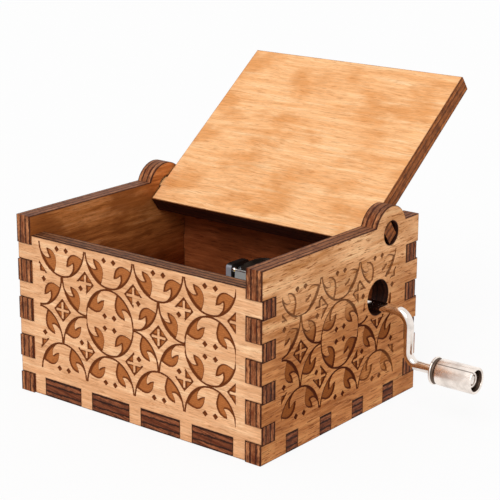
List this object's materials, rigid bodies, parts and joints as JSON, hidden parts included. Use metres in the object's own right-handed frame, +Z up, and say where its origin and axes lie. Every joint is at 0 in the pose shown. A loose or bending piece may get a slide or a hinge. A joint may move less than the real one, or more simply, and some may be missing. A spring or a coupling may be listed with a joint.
{
  "type": "hand crank music box",
  "caption": "Hand-cranked music box: engraved finger-jointed plywood case, hinged lid, pinned-cylinder movement with comb and worm drive, bent wire crank with knob.",
  "frame": {"origin": "middle of the case's underside, which rests on the table", "axes": "+X towards the crank side, -Y towards the front, +Z up"},
  "size_m": [0.0875, 0.0774, 0.0633],
  "materials": {
    "case_ply": "laser-cut plywood, engraved",
    "lid_ply": "laser-cut plywood, plain",
    "cast_metal": "cast, plated",
    "sheet_steel": "plated sheet",
    "comb_steel": "ground steel",
    "lead": "dull",
    "screw_steel": "plated",
    "black_steel": "blackened",
    "cylinder_brass": "polished",
    "gear_brass": "satin",
    "nickel": "bright nickel"
  },
  "bodies": {
    "case": {"front_wall": "case_ply", "back_wall": "case_ply", "left_wall": "case_ply", "right_wall": "case_ply", "bottom_plate": "case_ply", "bedplate": "cast_metal", "rear_bearing": "sheet_steel", "comb": "comb_steel", "comb_weights": "lead", "comb_screws": "screw_steel", "bracket_screws": "screw_steel", "guard_screws": "screw_steel", "bearing_screws": "screw_steel", "mounting_screws": "screw_steel", "worm_bracket": "sheet_steel", "worm_hood": "black_steel", "worm_shield": "sheet_steel"},
    "lid": {"lid": "lid_ply"},
    "cylinder": {"cylinder": "cylinder_brass", "front_cap": "gear_brass", "rear_cap": "gear_brass", "arbor": "screw_steel", "worm_wheel": "gear_brass"},
    "crank": {"crank": "nickel", "worm": "comb_steel", "spindle_clip": "screw_steel", "knob_rivet": "nickel"},
    "knob": {"crank_knob": "nickel"}
  },
  "joints": [
    {"name": "lid_hinge", "type": "hinge", "parent": "case", "child": "lid", "pos_m": [0, 0.0162, 0.03635], "axis": [1, 0, 0], "range_deg": [0, 143]},
    {"name": "crank_turn", "type": "hinge", "parent": "case", "child": "crank", "pos_m": [0, 0.012, 0.022], "axis": [1, 0, 0], "continuous": true},
    {"name": "cylinder_turn", "type": "hinge", "parent": "case", "child": "cylinder", "pos_m": [0.0024, 0, 0.0143], "axis": [0, 1, 0], "continuous": true},
    {"name": "knob_turn", "type": "hinge", "parent": "crank", "child": "knob", "pos_m": [0.05, 0.012, 0.0114], "axis": [1, 0, 0], "continuous": true}
  ],
  "couplings": [
    {"joint": "cylinder_turn", "follows": "crank_turn", "ratio": -0.05}
  ]
}
